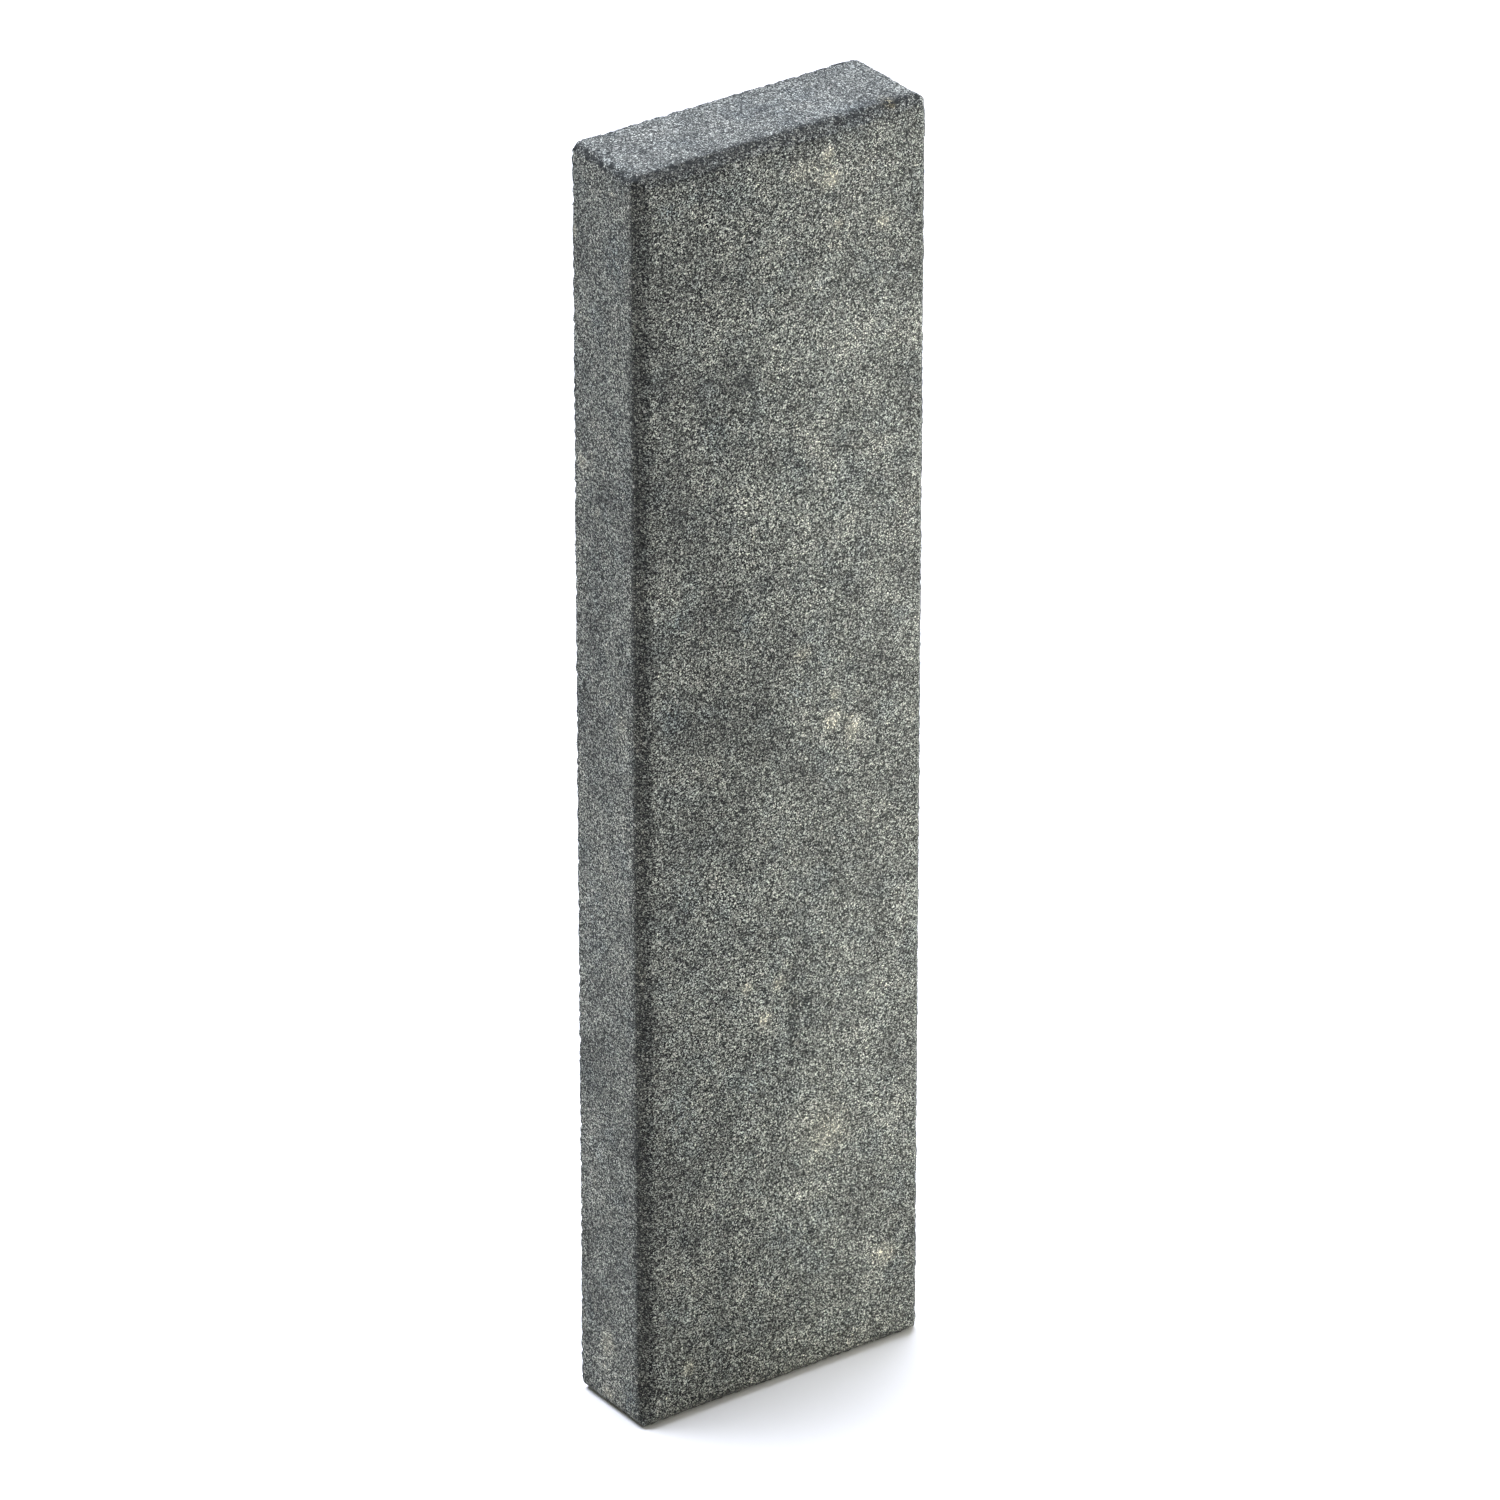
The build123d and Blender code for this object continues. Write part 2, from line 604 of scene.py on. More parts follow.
def chamfer_rub_and_shade_share(places, settings):
    """How much the chamfers are darkened, partly rubbed dense and partly painted shade: full at the
    outer arris, fading inwards and onto the face.

    The left one, which the lights leave in shade, has all of it, the head's less towards the right,
    the right and the foot's little.
    """
    front, _, _, side, end = slab_depths(places, settings)
    chamfer = np.maximum(side, end)
    inward = fading(-front, settings.chamfer)
    on_chamfer = (chamfer > -CHAMFER_SLACK) * (1 - INNER_LACK * np.clip(inward * 2 - 1, 0, 1))
    beside = BESIDE_RUB_AND_SHADE * fading(-chamfer, CHAMFER_FADE) * (front > -CHAMFER_SLACK)
    low = np.clip((places[:, 2] - SLAB_LOW.z) / settings.chamfer, 0, 1) ** 2
    rightwards = np.clip((places[:, 0] - SLAB_LOW.x) / (SLAB_HIGH.x - SLAB_LOW.x), 0, 1)
    foot = FOOT_RUB_AND_SHADE + (1 - FOOT_RUB_AND_SHADE) * low
    head = 1 - HEAD_LACK * rightwards * (end > side)
    right = 1 - RIGHT_LACK * ((rightwards > 0.5) & (side >= end))
    return np.maximum(on_chamfer, beside) * foot * head * right


def stain_strength(places, front_stains, side_stains):
    """Sum of soft round stains on the front face and on the left side."""
    x, y, z = places.T
    on_front = fading(y - SLAB_LOW.y, FRONT_MARK_DEPTH)
    on_side = fading(x - SLAB_LOW.x, SIDE_MARK_DEPTH)
    total = np.zeros(len(places))
    for stains, place_across, presence in ((front_stains, x, on_front), (side_stains, y, on_side)):
        for across, height, half_width, half_height, strength in stains:
            far = ((place_across - across) / half_width) ** 2 + ((z - height) / half_height) ** 2
            total += strength * np.exp(-far) * presence
    return np.clip(total, 0, 1)


def drift_and_painted_light(places):
    """0 on most of the slab; over the front face it rises from -1 on the left to 1 on the right:
    partly paler mortar, partly painted light from the right.
    """
    x, y, _ = places.T
    on_front = fading(y - SLAB_LOW.y, FRONT_MORTAR_DEPTH)
    share = np.clip((x - DRIFT_START) / DRIFT_WIDTH, 0, 1)
    return on_front * (2 * share * share * (3 - 2 * share) - 1)


def on_head(places):
    """1 on the head's top face, 0 from a little below it."""
    return fading(SLAB_HIGH.z - places[:, 2], HEAD_DEPTH)


def paleness(places):
    """Brightness of the mortar: more on the head as painted light, less on the left side as painted
    shade, clouded in front, and with the drift's painted light.
    """
    x, y, z = places.T
    clouds = np.zeros(len(places))
    for across, height, half_width, half_height, strength in FRONT_CLOUDS:
        far = ((x - across) / half_width) ** 2 + ((z - height) / half_height) ** 2
        clouds += strength * np.exp(-far)
    on_front = fading(y - SLAB_LOW.y, FRONT_MORTAR_DEPTH)
    on_side = fading(x - SLAB_LOW.x, SIDE_SHADE_DEPTH)
    ground = BRIGHTNESS + HEAD_PAINTED_LIGHT * on_head(places) + SIDE_PAINTED_SHADE * on_side
    return ground + DRIFT_AND_LIGHT_BRIGHTER * drift_and_painted_light(places) + clouds * on_front


def speckle_contrast(places, blooms):
    """Contrast of the speckle: full on the front face's left, less on its right and on the head."""
    on_front = fading(places[:, 1] - SLAB_LOW.y, FRONT_SPECKLE_DEPTH)
    drifting = FRONT_CONTRAST + DRIFT_CONTRAST * drift_and_painted_light(places)
    contrast = CONTRAST + HEAD_CONTRAST * on_head(places) + on_front * drifting
    return contrast * (1 - BLOOM_COVER * blooms)


def pore_share(places):
    """Share of the coarse grains that left a dark pore: most on the head."""
    return PORES + HEAD_PORES * on_head(places)


def skin_tree(material):
    """Geometry nodes that roughen a slab along its normals and crumble its arrises."""
    tree = bpy.data.node_groups.new("Pressed skin", "GeometryNodeTree")
    named_input(tree, "Geometry", "NodeSocketGeometry")
    sockets = {}
    for name in (
            "Wave height", "Wave size", "Grain height", "Grain size", "Chip depth", "Chip size"):
        sockets[name] = named_input(tree, name, "NodeSocketFloat", 0.001)
    sockets["Seed"] = named_input(tree, "Seed", "NodeSocketFloat", SKIN_SEED)
    tree.interface.new_socket(name="Geometry", in_out="OUTPUT", socket_type="NodeSocketGeometry")
    given = add_node(tree, "NodeGroupInput").outputs
    place = add_node(tree, "GeometryNodeInputPosition").outputs[0]
    normal = add_node(tree, "GeometryNodeInputNormal").outputs[0]

    def noise(size, detail, shift):
        scale = math_node(tree, "DIVIDE", 1.0, size)
        w = math_node(tree, "ADD", given["Seed"], shift)
        return add_node(
            tree, "ShaderNodeTexNoise",
            {"Vector": place, "W": w, "Scale": scale, "Detail": detail, "Roughness": 0.55},
            noise_dimensions="4D").outputs["Fac"]

    wave = math_node(tree, "SUBTRACT", noise(given["Wave size"], 2.0, 0.0), 0.5)
    wave = math_node(tree, "MULTIPLY", wave, given["Wave height"])
    grain = math_node(tree, "SUBTRACT", noise(given["Grain size"], 1.0, 5.0), 0.55)
    grain = math_node(tree, "MULTIPLY", grain, given["Grain height"])

    # The grain stands out more along an arris. Chips: only near one, where the noise runs high
    near = add_node(
        tree, "GeometryNodeInputNamedAttribute", {"Name": "arris"},
        data_type="FLOAT").outputs["Attribute"]
    coarser = math_node(tree, "ADD", math_node(tree, "MULTIPLY", near, 1.3), 1.0)
    grain = math_node(tree, "MULTIPLY", grain, coarser)
    gap = add_node(
        tree, "ShaderNodeMapRange",
        {"Value": noise(given["Chip size"], 3.0, 11.0), "From Min": 0.50, "From Max": 0.72},
        clamp=True).outputs[0]
    chip = math_node(tree, "MULTIPLY", math_node(tree, "MULTIPLY", near, gap), given["Chip depth"])

    lift = math_node(tree, "SUBTRACT", math_node(tree, "ADD", wave, grain), chip)
    moved = add_node(
        tree, "GeometryNodeSetPosition",
        {"Geometry": given["Geometry"], "Offset": scaled_vector(tree, normal, lift)}).outputs[0]

    # Nothing reaches below the floor that the slab stands on
    part = add_node(tree, "ShaderNodeSeparateXYZ", {0: place}).outputs
    raised = add_node(
        tree, "ShaderNodeCombineXYZ",
        {0: part[0], 1: part[1], 2: math_node(tree, "MAXIMUM", part[2], 0.0)}).outputs[0]
    seated = add_node(
        tree, "GeometryNodeSetPosition", {"Geometry": moved, "Position": raised}).outputs[0]
    real = add_node(tree, "GeometryNodeRealizeInstances", {0: seated}).outputs[0]
    finished = add_node(
        tree, "GeometryNodeSetMaterial", {"Geometry": real, "Material": material}).outputs[0]
    add_node(tree, "NodeGroupOutput", {0: finished})
    return tree, sockets


def make_slab_skin():
    """Gridded copy of the slab, roughened by geometry nodes."""
    settings = skin_settings()
    lines = [
        grid_lines(low, high, settings.chamfer, settings.cell)
        for low, high in zip(SLAB_LOW, SLAB_HIGH)]
    mesh, places = box_of_quads("slab_skin_grid", lines)
    places = drawn_onto_slab(places, settings)
    mesh.vertices.foreach_set("co", places.astype(np.float32).ravel())
    piece = bpy.data.objects.new("slab_skin", mesh)
    bpy.context.scene.collection.objects.link(piece)

    arrises = arris_nearness(places, settings)
    write_attribute(mesh, "arris", arrises)
    write_attribute(mesh, "crumbling", arrises * crumbling_share(places, settings))
    write_attribute(mesh, "chamfer", chamfer_rub_and_shade_share(places, settings))
    blooms = stain_strength(places, FRONT_BLOOMS, SIDE_BLOOMS)
    write_attribute(mesh, "bloom", blooms)
    write_attribute(mesh, "contrast", speckle_contrast(places, blooms))
    write_attribute(mesh, "smudge", stain_strength(places, FRONT_SMUDGES, SIDE_SMUDGES))
    write_attribute(mesh, "slate", stain_strength(places, FRONT_SLATE, SIDE_SLATE))
    write_attribute(mesh, "rust", stain_strength(places, FRONT_RUST, ()))
    write_attribute(mesh, "paleness", paleness(places))
    write_attribute(mesh, "pores", pore_share(places))

    tree, sockets = skin_tree(concrete_material())
    rough = piece.modifiers.new("Pressed skin", "NODES")
    rough.node_group = tree
    for name, value in (
            ("Wave height", settings.wave_height), ("Wave size", settings.wave_size),
            ("Grain height", settings.grain_height), ("Grain size", settings.grain_size),
            ("Chip depth", settings.chip_depth), ("Chip size", settings.chip_size),
            ("Seed", SKIN_SEED)):
        rough[sockets[name]] = value
    mesh = baked_mesh(piece, "slab_skin")
    mesh.shade_smooth()
    return piece


# Strewn sand


def sand_tree(material):
    """Geometry nodes that strew small crushed grains over a surface."""
    tree = bpy.data.node_groups.new("Strewn sand", "GeometryNodeTree")
    named_input(tree, "Geometry", "NodeSocketGeometry")
    sockets = {}
    for name in ("Density", "Smallest", "Largest", "Sunk"):
        sockets[name] = named_input(tree, name, "NodeSocketFloat", 0.001)
    sockets["Seed"] = named_input(tree, "Seed", "NodeSocketInt", 1)
    tree.interface.new_socket(name="Geometry", in_out="OUTPUT", socket_type="NodeSocketGeometry")
    given = add_node(tree, "NodeGroupInput").outputs

    # The face that the slab stands on stays bare
    normal = add_node(tree, "GeometryNodeInputNormal").outputs[0]
    up = add_node(tree, "ShaderNodeSeparateXYZ", {0: normal}).outputs[2]
    place = add_node(tree, "GeometryNodeInputPosition").outputs[0]
    height = add_node(tree, "ShaderNodeSeparateXYZ", {0: place}).outputs[2]
    sideways = math_node(tree, "GREATER_THAN", up, FOOT_NORMAL)
    clear = math_node(tree, "GREATER_THAN", height, FOOT_HEIGHT)
    strewn = add_node(
        tree, "GeometryNodeDistributePointsOnFaces",
        {"Mesh": given["Geometry"], "Selection": math_node(tree, "MULTIPLY", sideways, clear),
         "Density": given["Density"], "Seed": given["Seed"]},
        distribute_method="RANDOM")

    def random_share(shift):
        seed = math_node(tree, "ADD", given["Seed"], shift)
        return add_node(
            tree, "FunctionNodeRandomValue", {2: 0.0, 3: 1.0, "Seed": seed},
            data_type="FLOAT").outputs[1]

    def random_vector(low, high, shift):
        seed = math_node(tree, "ADD", given["Seed"], shift)
        return add_node(
            tree, "FunctionNodeRandomValue", {0: low, 1: high, "Seed": seed},
            data_type="FLOAT_VECTOR").outputs[0]

    # Many small grains and few large ones
    chance = math_node(tree, "POWER", random_share(1.0), 2.0)
    span = math_node(tree, "SUBTRACT", given["Largest"], given["Smallest"])
    radius = math_node(tree, "ADD", given["Smallest"], math_node(tree, "MULTIPLY", chance, span))
    kept = add_node(
        tree, "GeometryNodeStoreNamedAttribute",
        {"Geometry": strewn.outputs["Points"], "Name": "grain_tone", "Value": random_share(2.0)},
        data_type="FLOAT", domain="POINT").outputs[0]
    depth = math_node(tree, "MULTIPLY", math_node(tree, "MULTIPLY", radius, given["Sunk"]), -1.0)
    inwards = scaled_vector(tree, strewn.outputs["Normal"], depth)
    sunk = add_node(
        tree, "GeometryNodeSetPosition", {"Geometry": kept, "Offset": inwards}).outputs[0]

    grain = add_node(
        tree, "GeometryNodeMeshUVSphere",
        {"Segments": 4, "Rings": 2, "Radius": 1.0}).outputs["Mesh"]
    size = scaled_vector(tree, random_vector((0.7, 0.7, 0.55), (1.25, 1.25, 1.0), 3.0), radius)
    turned = add_node(
        tree, "FunctionNodeEulerToRotation",
        {0: random_vector((0, 0, 0), (math.tau, math.tau, math.tau), 4.0)}).outputs[0]
    placed = add_node(
        tree, "GeometryNodeInstanceOnPoints",
        {"Points": sunk, "Instance": grain, "Rotation": turned, "Scale": size}).outputs[0]
    real = add_node(tree, "GeometryNodeRealizeInstances", {0: placed}).outputs[0]
    finished = add_node(
        tree, "GeometryNodeSetMaterial", {"Geometry": real, "Material": material}).outputs[0]
    add_node(tree, "NodeGroupOutput", {0: finished})
    return tree, sockets


def strewn_lot(skin, number, tree, sockets):
    """One lot of grains on the skin, as a plain mesh."""
    settings = sand_settings()
    name = f"sand_lot_{number}"
    piece = bpy.data.objects.new(name, skin.data.copy())
    bpy.context.scene.collection.objects.link(piece)
    area = sum(face.area for face in skin.data.polygons)
    strew = piece.modifiers.new("Strewn sand", "NODES")
    strew.node_group = tree
    strew[sockets["Density"]] = settings.per_lot / area
    strew[sockets["Smallest"]] = settings.smallest
    strew[sockets["Largest"]] = settings.largest
    strew[sockets["Sunk"]] = settings.sunk
    strew[sockets["Seed"]] = settings.seed + LOT_SEED_STEP * number
    baked_mesh(piece, name)
    return piece


# Materials


def melange(tree, place):
    """Cloudy grey of the concrete: dark, middle and pale clouds, some of them slate blue."""
    colours = concrete_settings()
    clouds = add_node(
        tree, "ShaderNodeTexNoise",
        {"Vector": place, "Scale": 1 / colours.cloud_size, "Detail": 5.0, "Roughness": 0.66,
         "Distortion": 0.3}).outputs["Fac"]
    grey = ramp_node(
        tree, clouds, ((0.34, colours.dark), (0.50, colours.middle), (0.66, colours.pale)))
    elsewhere = add_node(
        tree, "ShaderNodeMapping", {"Vector": place, "Location": (1.7, 0.4, 2.9)}).outputs[0]
    blue = add_node(
        tree, "ShaderNodeTexNoise",
        {"Vector": elsewhere, "Scale": 1.6 / colours.cloud_size, "Detail": 3.0,
         "Roughness": 0.6}).outputs["Fac"]
    blue = add_node(
        tree, "ShaderNodeMapRange",
        {"Value": blue, "From Min": 0.50, "From Max": 0.68, "To Max": 0.26}).outputs[0]
    return mixed_colour(tree, blue, grey, colours.slate)


def cloudy(tree, place, size, low, high, detail=2.0, shift=0.0, tall=1.0):
    """Mask from noise: 0 below the low value, 1 above the high one, drawn out upwards if tall."""
    moved = add_node(
        tree, "ShaderNodeMapping",
        {"Vector": place, "Location": (shift, shift, shift),
         "Scale": (1.0, 1.0, 1 / tall)}).outputs[0]
    noise = add_node(
        tree, "ShaderNodeTexNoise",
        {"Vector": moved, "Scale": 1 / size, "Detail": detail, "Roughness": 0.65}).outputs["Fac"]
    return add_node(
        tree, "ShaderNodeMapRange", {"Value": noise, "From Min": low, "From Max": high}).outputs[0]


def stained(tree, place, colour):
    """Colour with its stains, broken up by the grain so that they have no drawn edge."""
    colours = concrete_settings()
    ragged = cloudy(tree, place, size=0.0034, low=0.40, high=0.56)
    denser = math_node(tree, "MAXIMUM", ragged, 0.5)
    for name, share, stain, mask in (
            ("slate", 0.8, colours.slate, ragged), ("smudge", 0.9, colours.pit, ragged),
            ("bloom", 0.9, colours.lime, denser), ("rust", 1.0, colours.rust, denser)):
        cover = math_node(tree, "MULTIPLY", attribute_value(tree, name), mask)
        colour = mixed_colour(tree, math_node(tree, "MULTIPLY", cover, share), colour, stain)

    # Dark pits and lime specks in loose clusters, a little drawn out upwards
    pits = cloudy(tree, place, size=0.016, low=0.56, high=0.70, detail=3.0, shift=0.9, tall=1.6)
    specks = cloudy(tree, place, size=0.013, low=0.60, high=0.74, detail=3.0, shift=2.3, tall=1.3)
    for clusters, share, stain in ((pits, 0.55, colours.pit), (specks, 0.18, colours.lime)):
        cover = math_node(tree, "MULTIPLY", clusters, ragged)
        colour = mixed_colour(tree, math_node(tree, "MULTIPLY", cover, share), colour, stain)
    return colour


def hole_shade_mask(tree, place):
    """Mask of the holes, painted dark as the shade inside them: along worn arrises, inside smudges,
    few elsewhere, and the head's pits.
    """
    crumbling = math_node(tree, "MULTIPLY", attribute_value(tree, "crumbling"), 1.7, clamp=True)
    worn = cloudy(tree, place, size=0.0036, low=0.51, high=0.55, shift=1.4)
    worn = math_node(tree, "MULTIPLY", crumbling, worn)
    few = cloudy(tree, place, size=0.0034, low=0.61, high=0.66, shift=3.3, tall=1.4)
    clusters = cloudy(tree, place, size=0.030, low=0.44, high=0.58, detail=3.0, shift=4.2)
    few = math_node(tree, "MULTIPLY", few, clusters)
    core = add_node(
        tree, "ShaderNodeMapRange",
        {"Value": attribute_value(tree, "smudge"), "From Min": 0.35, "From Max": 0.9}).outputs[0]
    broken = cloudy(tree, place, size=0.0028, low=0.50, high=0.56, detail=1.0, shift=5.1)
    core = math_node(tree, "MULTIPLY", core, broken)
    holes = math_node(tree, "MAXIMUM", math_node(tree, "MAXIMUM", worn, few), core)
    holes = math_node(tree, "MULTIPLY", holes, HOLE_COVER)

    # Each of the head's pits is a ball with a ragged edge
    jitter = add_node(
        tree, "ShaderNodeTexNoise",
        {"Vector": place, "Scale": RAGGED_SCALE, "Detail": 1.0, "Roughness": 0.6}).outputs["Fac"]
    jitter = math_node(tree, "SUBTRACT", jitter, 0.5)
    jitter = math_node(tree, "MULTIPLY", jitter, RAGGED_EDGE)
    pits = 0.0
    for *middle, radius in HEAD_PITS:
        far = add_node(
            tree, "ShaderNodeVectorMath", {0: place, 1: middle}, operation="DISTANCE").outputs[1]
        pit = math_node(tree, "LESS_THAN", math_node(tree, "ADD", far, jitter), radius)
        pits = math_node(tree, "MAXIMUM", pits, pit)
    return math_node(tree, "MAXIMUM", holes, math_node(tree, "MULTIPLY", pits, PIT_COVER))


def chamfer_rub_and_painted_shade(tree, place, colour):
    """Colour darkened on the chamfers in ragged patches: partly rubbed dense by the stamp, partly
    painted shade where the lights leave them dark.
    """
    patchy = add_node(
        tree, "ShaderNodeTexNoise",
        {"Vector": place, "Scale": 210.0, "Detail": 2.0, "Roughness": 0.6}).outputs["Fac"]
    patchy = add_node(
        tree, "ShaderNodeMapRange",
        {"Value": patchy, "From Min": 0.3, "From Max": 0.7, "To Min": 0.75,
         "To Max": 1.25}).outputs[0]
    rub_and_shade = math_node(tree, "MULTIPLY", attribute_value(tree, "chamfer"), patchy, clamp=True)
    darker = mixed_colour(tree, 1.0, colour, RUB_AND_SHADE_TINT, "MULTIPLY")
    return mixed_colour(tree, rub_and_shade, colour, darker)


def weathered(tree, place):
    """Melange with its stains, its pale drift, its painted light and shade, and its chamfers darkened
    partly by rubbing and partly as painted shade, before its speckle.
    """
    colour = stained(tree, place, melange(tree, place))
    colour = scaled_vector(tree, colour, attribute_value(tree, "paleness"))
    return chamfer_rub_and_painted_shade(tree, place, colour)


def speckled(tree, colour, tone, holes):
    """Colour times a grain's own tone, in the local contrast of the speckle, with holes painted dark
    as the shade inside them.
    """
    tone = mixed_colour(tree, attribute_value(tree, "contrast"), (1.0, 1.0, 1.0), tone)
    colour = mixed_colour(tree, 1.0, colour, tone, "MULTIPLY")
    return mixed_colour(tree, holes, colour, HOLE_SHADE_COLOUR)


def concrete_material():
    """Rough melange concrete with a fine salt-and-pepper speckle."""
    colours = concrete_settings()
    material = bpy.data.materials.new("melange concrete")
    material.use_nodes = True
    tree = material.node_tree
    tree.nodes.clear()
    place = add_node(tree, "ShaderNodeTexCoord").outputs["Object"]

    # Speckle: every grain has its own tone, some near white and some near black
    def grains(size, shift):
        moved = add_node(
            tree, "ShaderNodeMapping",
            {"Vector": place, "Location": (shift, shift * 2, shift * 3)}).outputs[0]
        node = add_node(
            tree, "ShaderNodeTexVoronoi", {"Vector": moved, "Scale": 1 / size, "Randomness": 1.0},
            feature="F1")
        chance = add_node(tree, "ShaderNodeSeparateColor", {0: node.outputs["Color"]}).outputs[0]
        return chance, node.outputs["Distance"]

    fine_chance, fine_gap = grains(colours.speckle_size, 0.0)
    coarse_chance, coarse_gap = grains(colours.speckle_size * COARSE_GRAINS, 0.31)
    # Coarse grains pulled out leave pores, painted dark as the shade inside them
    pulled = math_node(tree, "LESS_THAN", coarse_chance, attribute_value(tree, "pores"))
    pore = math_node(
        tree, "MULTIPLY", pulled, math_node(tree, "LESS_THAN", coarse_gap, PORE_WIDTH))
    pore = math_node(tree, "MULTIPLY", pore, PORE_COVER)
    holes = math_node(tree, "MAXIMUM", hole_shade_mask(tree, place), pore)
    tone = ramp_node(tree, fine_chance, SPECKLE_TONES)
    colour = speckled(tree, weathered(tree, place), tone, holes)
    fleck = math_node(
        tree, "MULTIPLY", math_node(tree, "GREATER_THAN", coarse_chance, FLECK_CHANCE),
        math_node(tree, "LESS_THAN", coarse_gap, FLECK_WIDTH))
    fleck = math_node(tree, "MULTIPLY", fleck, FLECK_COVER)
    colour = mixed_colour(tree, fleck, colour, FLECK_COLOUR)

    # Finest relief: rounded grains with dark gaps between them
    relief = math_node(tree, "MULTIPLY", fine_gap, -1.0)
    relief = math_node(tree, "ADD", relief, math_node(tree, "MULTIPLY", fine_chance, 0.7))
    relief = math_node(tree, "ADD", relief, math_node(tree, "MULTIPLY", coarse_gap, -0.3))
    bump = add_node(
        tree, "ShaderNodeBump",
        {"Strength": 1.0, "Distance": colours.bump_height, "Height": relief}).outputs[0]
    surface = add_node(
        tree, "ShaderNodeBsdfPrincipled",
        {"Base Color": colour, "Roughness": 0.92, "Specular IOR Level": 0.25,
         "Normal": bump}).outputs[0]
    add_node(tree, "ShaderNodeOutputMaterial", {"Surface": surface})
    return material


def sand_material():
    """Grains of crushed stone: most as grey as the concrete around them, some pale, some dark."""
    material = bpy.data.materials.new("strewn sand")
    material.use_nodes = True
    tree = material.node_tree
    tree.nodes.clear()
    place = add_node(tree, "ShaderNodeTexCoord").outputs["Object"]
    tone = ramp_node(tree, attribute_value(tree, "grain_tone"), SAND_TONES)
    colour = speckled(tree, weathered(tree, place), tone, hole_shade_mask(tree, place))
    surface = add_node(
        tree, "ShaderNodeBsdfPrincipled",
        {"Base Color": colour, "Roughness": 0.85, "Specular IOR Level": 0.35}).outputs[0]
    add_node(tree, "ShaderNodeOutputMaterial", {"Surface": surface})
    return material


# Stage


def plain_material(name, colour, roughness):
    material = bpy.data.materials.new(name)
    material.use_nodes = True
    shader = material.node_tree.nodes["Principled BSDF"]
    shader.inputs["Base Color"].default_value = (*colour, 1.0)
    shader.inputs["Roughness"].default_value = roughness
    return material


def make_floor():
    settings = stage_settings()
    work = bmesh.new()
    bmesh.ops.create_circle(work, cap_ends=True, segments=FLOOR_SIDES, radius=settings.floor_radius)
    mesh = bpy.data.meshes.new("floor")
    work.to_mesh(mesh)
    work.free()
    floor = bpy.data.objects.new("floor", mesh)
    bpy.context.scene.collection.objects.link(floor)
    mesh.materials.append(plain_material("pale floor", settings.floor_colour, 0.9))
    return floor


def add_softbox(name, place, aim, width, height, power, colour):
    """Rectangular area lamp at a place, turned towards its aim."""
    lamp = bpy.data.lights.new(name, "AREA")
    lamp.shape = "RECTANGLE"
    lamp.size, lamp.size_y = width, height
    lamp.energy = power
    lamp.color = colour
    holder = bpy.data.objects.new(name, lamp)
    bpy.context.scene.collection.objects.link(holder)
    holder.location = place
    holder.rotation_euler = (Vector(aim) - Vector(place)).to_track_quat("-Z", "Y").to_euler()
    holder.visible_camera = False


def add_overhead(name, power, spread, lean, colour):
    """Wide even light from above, leaning back behind the slab."""
    lamp = bpy.data.lights.new(name, "SUN")
    lamp.energy = power
    lamp.angle = spread
    lamp.color = colour
    holder = bpy.data.objects.new(name, lamp)
    bpy.context.scene.collection.objects.link(holder)
    holder.location = (0, 1, 4)
    holder.rotation_euler = (-lean, 0, 0)


def make_world():
    """Dim air around a pale background."""
    world = bpy.data.worlds.new("studio air")
    world.use_nodes = True
    tree = world.node_tree
    tree.nodes.clear()
    dim = add_node(
        tree, "ShaderNodeBackground", {"Color": DIM_AIR, "Strength": DIM_AIR_STRENGTH}).outputs[0]
    pale = add_node(
        tree, "ShaderNodeBackground", {"Color": PALE_BACKGROUND, "Strength": 1.0}).outputs[0]
    seen = add_node(tree, "ShaderNodeLightPath").outputs["Is Camera Ray"]
    both = add_node(tree, "ShaderNodeMixShader", {0: seen, 1: dim, 2: pale}).outputs[0]
    add_node(tree, "ShaderNodeOutputWorld", {"Surface": both})
    bpy.context.scene.world = world


def make_lights():
    add_overhead("overhead light", OVERHEAD_POWER, OVERHEAD_SPREAD, OVERHEAD_LEAN, OVERHEAD_COLOUR)
    for softbox in SOFTBOXES:
        add_softbox(*softbox)


def make_camera():
    """Long lens from above the left front, aimed at the slab's middle."""
    settings = stage_settings()
    aim = Vector(CAMERA_AIM)
    away = Vector((
        math.sin(settings.azimuth) * math.cos(settings.elevation),
        -math.cos(settings.azimuth) * math.cos(settings.elevation),
        math.sin(settings.elevation)))
    lens = bpy.data.cameras.new("camera")
    lens.lens = settings.lens
    lens.sensor_width = SENSOR_WIDTH
    camera = bpy.data.objects.new("camera", lens)
    bpy.context.scene.collection.objects.link(camera)
    camera.location = aim + away * settings.distance
    camera.rotation_euler = (-away).to_track_quat("-Z", "Y").to_euler()
    bpy.context.scene.camera = camera


# Operators and panel


class PALISADE_OT_slab_skin(bpy.types.Operator):
    """Dress the slab in its rough pressed skin"""

    bl_idname = "palisade.slab_skin"
    bl_label = "Slab Skin"

    def execute(self, context):
        skin = make_slab_skin()
        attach(skin, BODY)
        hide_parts(SLAB_NODE)
        return {"FINISHED"}


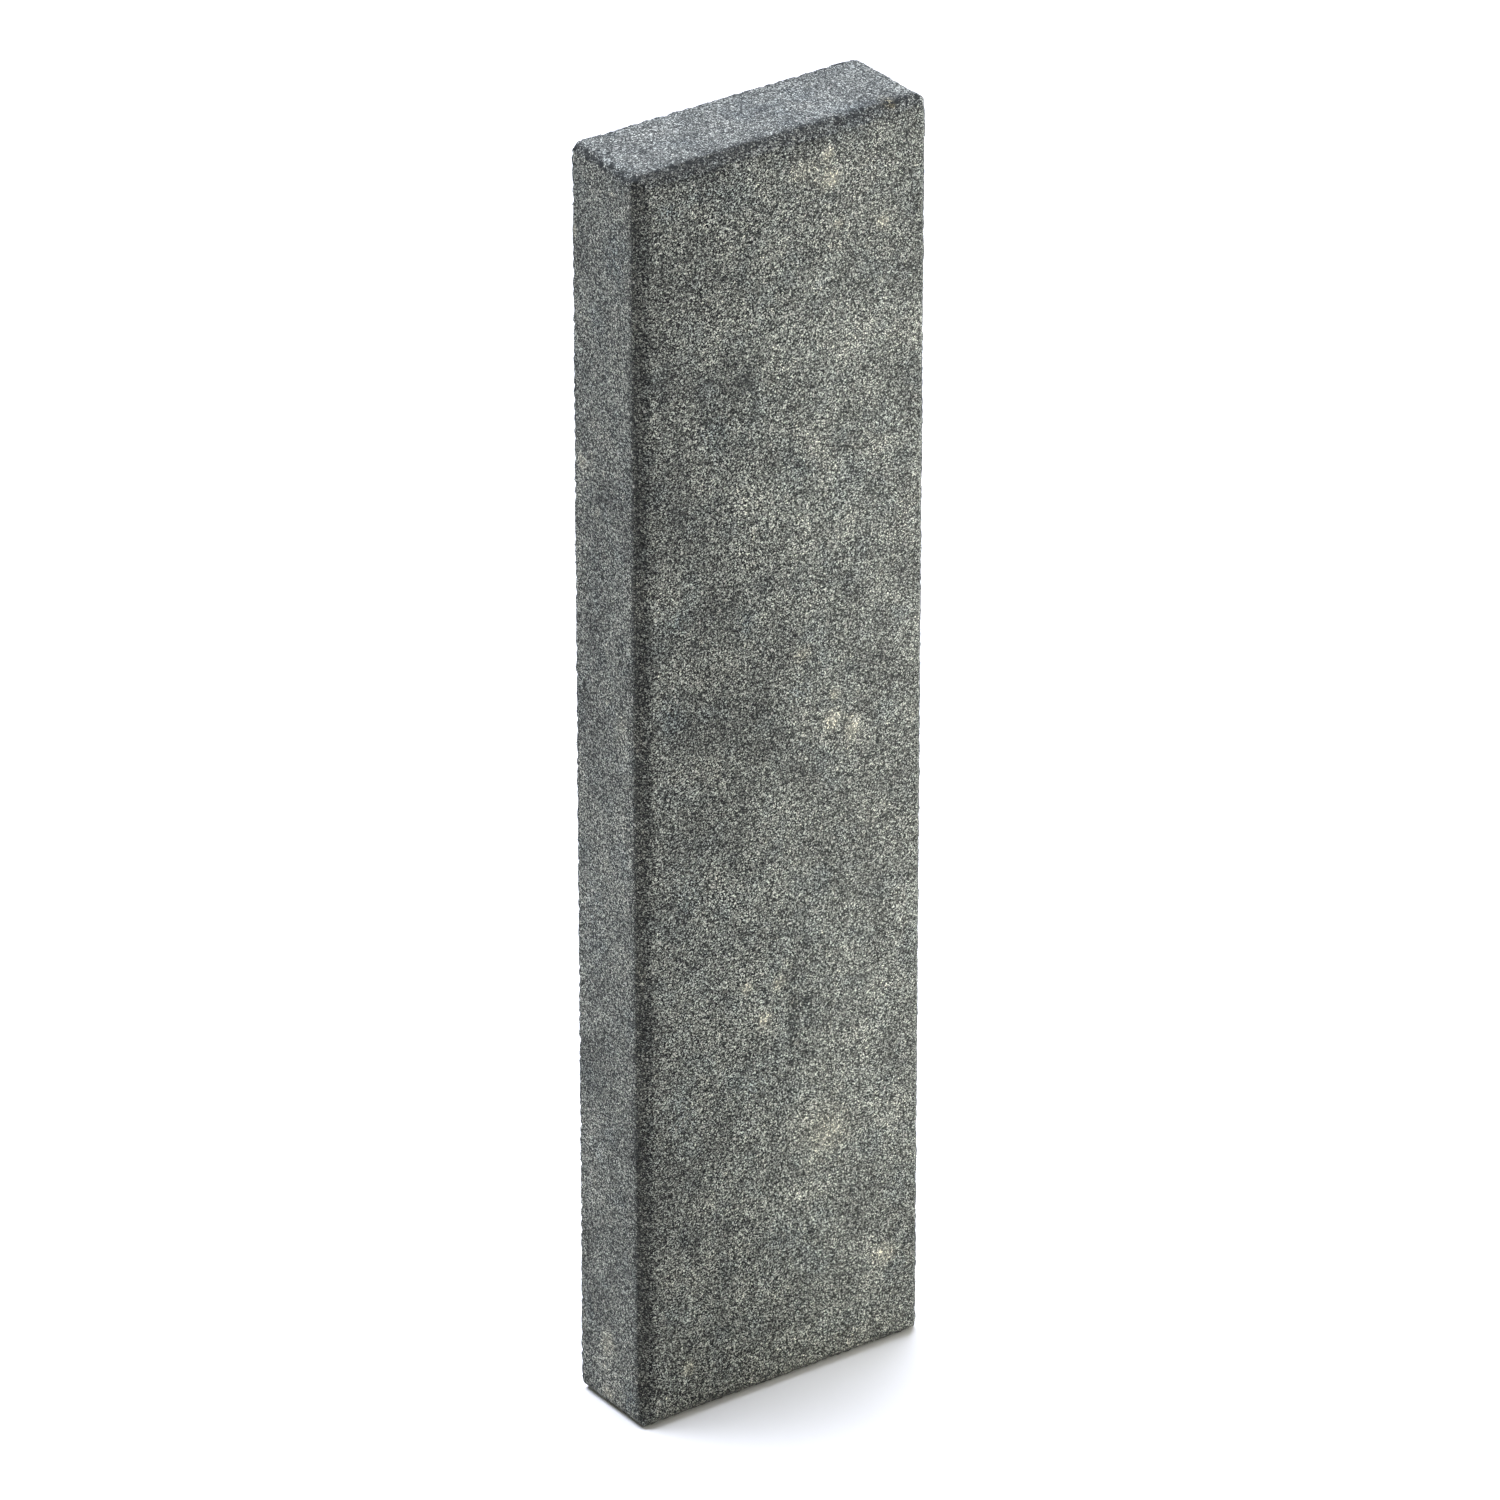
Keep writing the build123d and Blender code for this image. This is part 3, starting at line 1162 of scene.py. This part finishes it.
class PALISADE_OT_strewn_sand(bpy.types.Operator):
    """Strew sand grains that stand out of the skin"""

    bl_idname = "palisade.strewn_sand"
    bl_label = "Strewn Sand"

    def execute(self, context):
        skin = bpy.data.objects.get("slab_skin")
        if skin is None:
            raise RuntimeError("make the slab skin before its sand")
        tree, sockets = sand_tree(sand_material())
        for number in range(1, sand_settings().lots + 1):
            lot = strewn_lot(skin, number, tree, sockets)
            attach(lot, BODY)
        return {"FINISHED"}


class PALISADE_OT_stage(bpy.types.Operator):
    """Set the plain floor, the soft lights and the camera"""

    bl_idname = "palisade.stage"
    bl_label = "Stage"

    def execute(self, context):
        make_floor()
        make_lights()
        make_world()
        make_camera()
        context.scene.view_settings.view_transform = "Standard"
        return {"FINISHED"}


class PALISADE_PT_panel(bpy.types.Panel):
    """Lists the palisade's pieces in the order they are made"""

    bl_idname = "PALISADE_PT_panel"
    bl_label = "Palisade"
    bl_space_type = "VIEW_3D"
    bl_region_type = "UI"
    bl_category = "Palisade"

    def draw(self, context):
        for operator in OPERATORS:
            self.layout.operator(operator.bl_idname)


SETTINGS = {
    "palisade_skin": PalisadeSkinSettings,
    "palisade_sand": PalisadeSandSettings,
    "palisade_concrete": PalisadeConcreteSettings,
    "palisade_stage": PalisadeStageSettings,
}
OPERATORS = (PALISADE_OT_slab_skin, PALISADE_OT_strewn_sand, PALISADE_OT_stage)


def register():
    for name, group in SETTINGS.items():
        bpy.utils.register_class(group)
        setattr(bpy.types.Scene, name, bpy.props.PointerProperty(type=group))
    for operator in OPERATORS:
        bpy.utils.register_class(operator)
    bpy.utils.register_class(PALISADE_PT_panel)


def unregister():
    bpy.utils.unregister_class(PALISADE_PT_panel)
    for operator in reversed(OPERATORS):
        bpy.utils.unregister_class(operator)
    for name, group in reversed(SETTINGS.items()):
        delattr(bpy.types.Scene, name)
        bpy.utils.unregister_class(group)


def main():
    register()
    bpy.ops.palisade.slab_skin()
    bpy.ops.palisade.strewn_sand()
    bpy.ops.palisade.stage()


if __name__ == "__main__":
    main()
